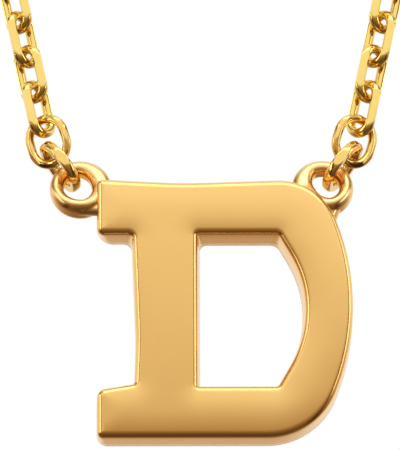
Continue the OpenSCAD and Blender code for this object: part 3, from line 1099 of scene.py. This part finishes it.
class NECKLACE_OT_chain(bpy.types.Operator):
    """Build both sides of the planed cable chain"""

    bl_idname = "necklace.chain"
    bl_label = "Cable Chain"

    def execute(self, context):
        scene = context.scene
        tree = chain_tree(link_tree())
        for side in SIDES:
            node = f"chain_{side}"
            piece = chain_piece(node, tree, scene.necklace_chain, golds(scene)["chain gold"])
            sit(piece, CHAIN_BODY, "chain_gold", node)
        return {"FINISHED"}


class NECKLACE_OT_clasp(bpy.types.Operator):
    """Finish the clasp at the nape"""

    bl_idname = "necklace.clasp"
    bl_label = "Clasp"

    def execute(self, context):
        node = frame["nodes"]["clasp"]
        node.data.materials.clear()
        node.data.materials.append(golds(context.scene)["ring gold"])
        return {"FINISHED"}


# Studio

def aimed(kind, name, place, target):
    """An object that looks at a target, at a place."""
    made = bpy.data.objects.new(name, kind)
    bpy.context.scene.collection.objects.link(made)
    made.location = place
    made.rotation_euler = (target - place).to_track_quat("-Z", "Y").to_euler()
    return made


def soft_light(name, place, target, size, power):
    """A white, rectangular studio light."""
    light = bpy.data.lights.new(name, "AREA")
    light.shape = "RECTANGLE"
    light.size, light.size_y = size
    light.energy = power
    return aimed(light, name, place, target)


def banded(tree, way, bands):
    """A colour that follows an angle, from a table of degrees and tones."""
    level = maths(tree, "ADD", maths(tree, "MULTIPLY", way, 0.5), 0.5)
    ramp = tree.nodes.new("ShaderNodeValToRGB")
    tree.links.new(level, ramp.inputs[0])
    stops = ramp.color_ramp.elements
    places = [0.5 + 0.5 * math.sin(math.radians(angle)) for angle, _ in bands]
    for stop, place, (_, tone) in ((stops[0], places[0], bands[0]), (stops[1], places[-1], bands[-1])):
        stop.position = place
        stop.color = (*tone, 1)
    for place, (_, tone) in zip(places[1:-1], bands[1:-1]):
        stops.new(place).color = (*tone, 1)
    return ramp.outputs[0]


def studio_world():
    """White to the camera, and a room of bright and dark bands to the gold."""
    world = bpy.data.worlds.new("Studio")
    bpy.context.scene.world = world
    world.use_nodes = True
    tree = world.node_tree
    tree.nodes.clear()
    way = tree.nodes.new("ShaderNodeTexCoord").outputs["Generated"]
    sideways, backwards, height = add(tree, "ShaderNodeSeparateXYZ", way).outputs[:3]
    front = banded(tree, height, (
        (-90, (0.1, 0.065, 0.04)),
        (-35, (0.24, 0.155, 0.09)),
        (-8, (0.42, 0.29, 0.18)),
        (0, (0.6, 0.49, 0.38)),
        (7, (0.86, 0.83, 0.79)),
        (15, (1.1, 1.12, 1.16)),
        (40, (1.1, 1.1, 1.1)),
        (52, (0.5, 0.47, 0.43)),
        (66, (1.0, 1.0, 1.0)),
        (90, (1.0, 1.0, 1.0)),
    ))
    back = banded(tree, height, (
        (-90, (0.12, 0.08, 0.05)),
        (-30, (0.4, 0.27, 0.17)),
        (-12, (0.62, 0.48, 0.36)),
        (0, (0.95, 0.93, 0.9)),
        (90, (1.0, 1.0, 1.0)),
    ))
    flags = banded(tree, sideways, (
        (-90, (1, 1, 1)),
        (-62, (1, 1, 1)),
        (-52, (0.2, 0.14, 0.09)),
        (-44, (0.2, 0.14, 0.09)),
        (-34, (1, 1, 1)),
        (34, (1, 1, 1)),
        (44, (0.2, 0.14, 0.09)),
        (52, (0.2, 0.14, 0.09)),
        (62, (1, 1, 1)),
        (90, (1, 1, 1)),
    ))
    flagged = tree.nodes.new("ShaderNodeMix")
    flagged.data_type = "RGBA"
    flagged.blend_type = "MULTIPLY"
    flagged.inputs[0].default_value = 1
    tree.links.new(front, flagged.inputs[6])
    tree.links.new(flags, flagged.inputs[7])
    behind = tree.nodes.new("ShaderNodeMapRange")
    behind.interpolation_type = "SMOOTHSTEP"
    tree.links.new(backwards, behind.inputs["Value"])
    behind.inputs["From Min"].default_value = 0.15
    behind.inputs["From Max"].default_value = 0.6
    both = tree.nodes.new("ShaderNodeMix")
    both.data_type = "RGBA"
    tree.links.new(behind.outputs[0], both.inputs[0])
    tree.links.new(flagged.outputs[2], both.inputs[6])
    tree.links.new(back, both.inputs[7])
    room = tree.nodes.new("ShaderNodeBackground")
    tree.links.new(both.outputs[2], room.inputs[0])
    white = tree.nodes.new("ShaderNodeBackground")
    white.inputs[0].default_value = (1, 1, 1, 1)
    seen = tree.nodes.new("ShaderNodeLightPath").outputs["Is Camera Ray"]
    mix = tree.nodes.new("ShaderNodeMixShader")
    tree.links.new(seen, mix.inputs[0])
    tree.links.new(room.outputs[0], mix.inputs[1])
    tree.links.new(white.outputs[0], mix.inputs[2])
    result = tree.nodes.new("ShaderNodeOutputWorld")
    tree.links.new(mix.outputs[0], result.inputs[0])


def shade_floor(tree, pale):
    """Lets the gold mirror the room through the floor, while the camera sees it pale."""
    clear = tree.nodes.new("ShaderNodeBsdfTransparent")
    seen = tree.nodes.new("ShaderNodeLightPath").outputs["Is Camera Ray"]
    mix = tree.nodes.new("ShaderNodeMixShader")
    tree.links.new(seen, mix.inputs[0])
    tree.links.new(clear.outputs[0], mix.inputs[1])
    tree.links.new(pale.outputs[0], mix.inputs[2])
    result = next(n for n in tree.nodes if n.type == "OUTPUT_MATERIAL")
    tree.links.new(mix.outputs[0], result.inputs["Surface"])


class NECKLACE_OT_studio(bpy.types.Operator):
    """Build the camera, the floor and the lights"""

    bl_idname = "necklace.studio"
    bl_label = "Studio"

    def execute(self, context):
        scene = context.scene
        s = scene.necklace_studio
        scene.view_settings.view_transform = "Standard"
        target = Vector((s.aim_x, SWING.y, SWING.z + s.aim_z))
        away = Vector((
            math.sin(s.azimuth) * math.cos(s.elevation),
            -math.cos(s.azimuth) * math.cos(s.elevation),
            math.sin(s.elevation),
        ))
        lens = bpy.data.cameras.new("Camera")
        lens.sensor_width = 36
        lens.lens = lens.sensor_width * s.camera_far / s.view_h
        lens.clip_start = 0.01
        camera = aimed(lens, "Camera", target + away * s.camera_far, target)
        camera.rotation_euler.rotate_axis("Z", s.roll)
        scene.camera = camera
        studio_world()
        soft_light("Top Softbox", target + Vector((0.02, -0.16, 0.22)), target, (0.26, 0.14), 0.24)
        soft_light("Left Softbox", target + Vector((-0.24, -0.14, 0.04)), target, (0.06, 0.26), 0.1)
        soft_light("Right Softbox", target + Vector((0.24, -0.1, 0.05)), target, (0.06, 0.26), 0.09)
        floor = bpy.data.meshes.new("Floor")
        half = 1.2
        corners = [(x * half, y * half, s.floor_z) for x, y in ((-1, -1), (1, -1), (1, 1), (-1, 1))]
        floor.from_pydata(corners, [], [(0, 1, 2, 3)])
        paper = bpy.data.materials.new("pale paper")
        paper.use_nodes = True
        shader = next(n for n in paper.node_tree.nodes if n.type == "BSDF_PRINCIPLED")
        shader.inputs["Base Color"].default_value = (0.86, 0.86, 0.86, 1)
        shader.inputs["Roughness"].default_value = 0.9
        shade_floor(paper.node_tree, shader)
        floor.materials.append(paper)
        ground = bpy.data.objects.new("Floor", floor)
        scene.collection.objects.link(ground)
        return {"FINISHED"}


OPERATORS = (
    NECKLACE_OT_letter,
    NECKLACE_OT_loops,
    NECKLACE_OT_rings,
    NECKLACE_OT_chain,
    NECKLACE_OT_clasp,
    NECKLACE_OT_studio,
)


class NECKLACE_PT_panel(bpy.types.Panel):
    """Lists the pieces of the necklace and their sizes"""

    bl_idname = "NECKLACE_PT_panel"
    bl_label = "Initial Necklace"
    bl_space_type = "VIEW_3D"
    bl_region_type = "UI"
    bl_category = "Necklace"

    def draw(self, context):
        layout = self.layout
        for operator in OPERATORS:
            layout.operator(operator.bl_idname)
        for name, kind in SETTINGS.items():
            box = layout.box()
            box.label(text=kind.__name__)
            settings = getattr(context.scene, name)
            for key in kind.__annotations__:
                box.prop(settings, key)


CLASSES = (*SETTINGS.values(), *OPERATORS, NECKLACE_PT_panel)


def register():
    for kind in CLASSES:
        bpy.utils.register_class(kind)
    for name, kind in SETTINGS.items():
        setattr(bpy.types.Scene, name, bpy.props.PointerProperty(type=kind))


def unregister():
    for name in SETTINGS:
        delattr(bpy.types.Scene, name)
    for kind in reversed(CLASSES):
        bpy.utils.unregister_class(kind)


def main():
    """Builds the necklace and its studio."""
    register()
    bpy.ops.necklace.studio()
    bpy.ops.necklace.letter()
    bpy.ops.necklace.loops()
    bpy.ops.necklace.rings()
    bpy.ops.necklace.chain()
    bpy.ops.necklace.clasp()


if __name__ == "__main__":
    main()
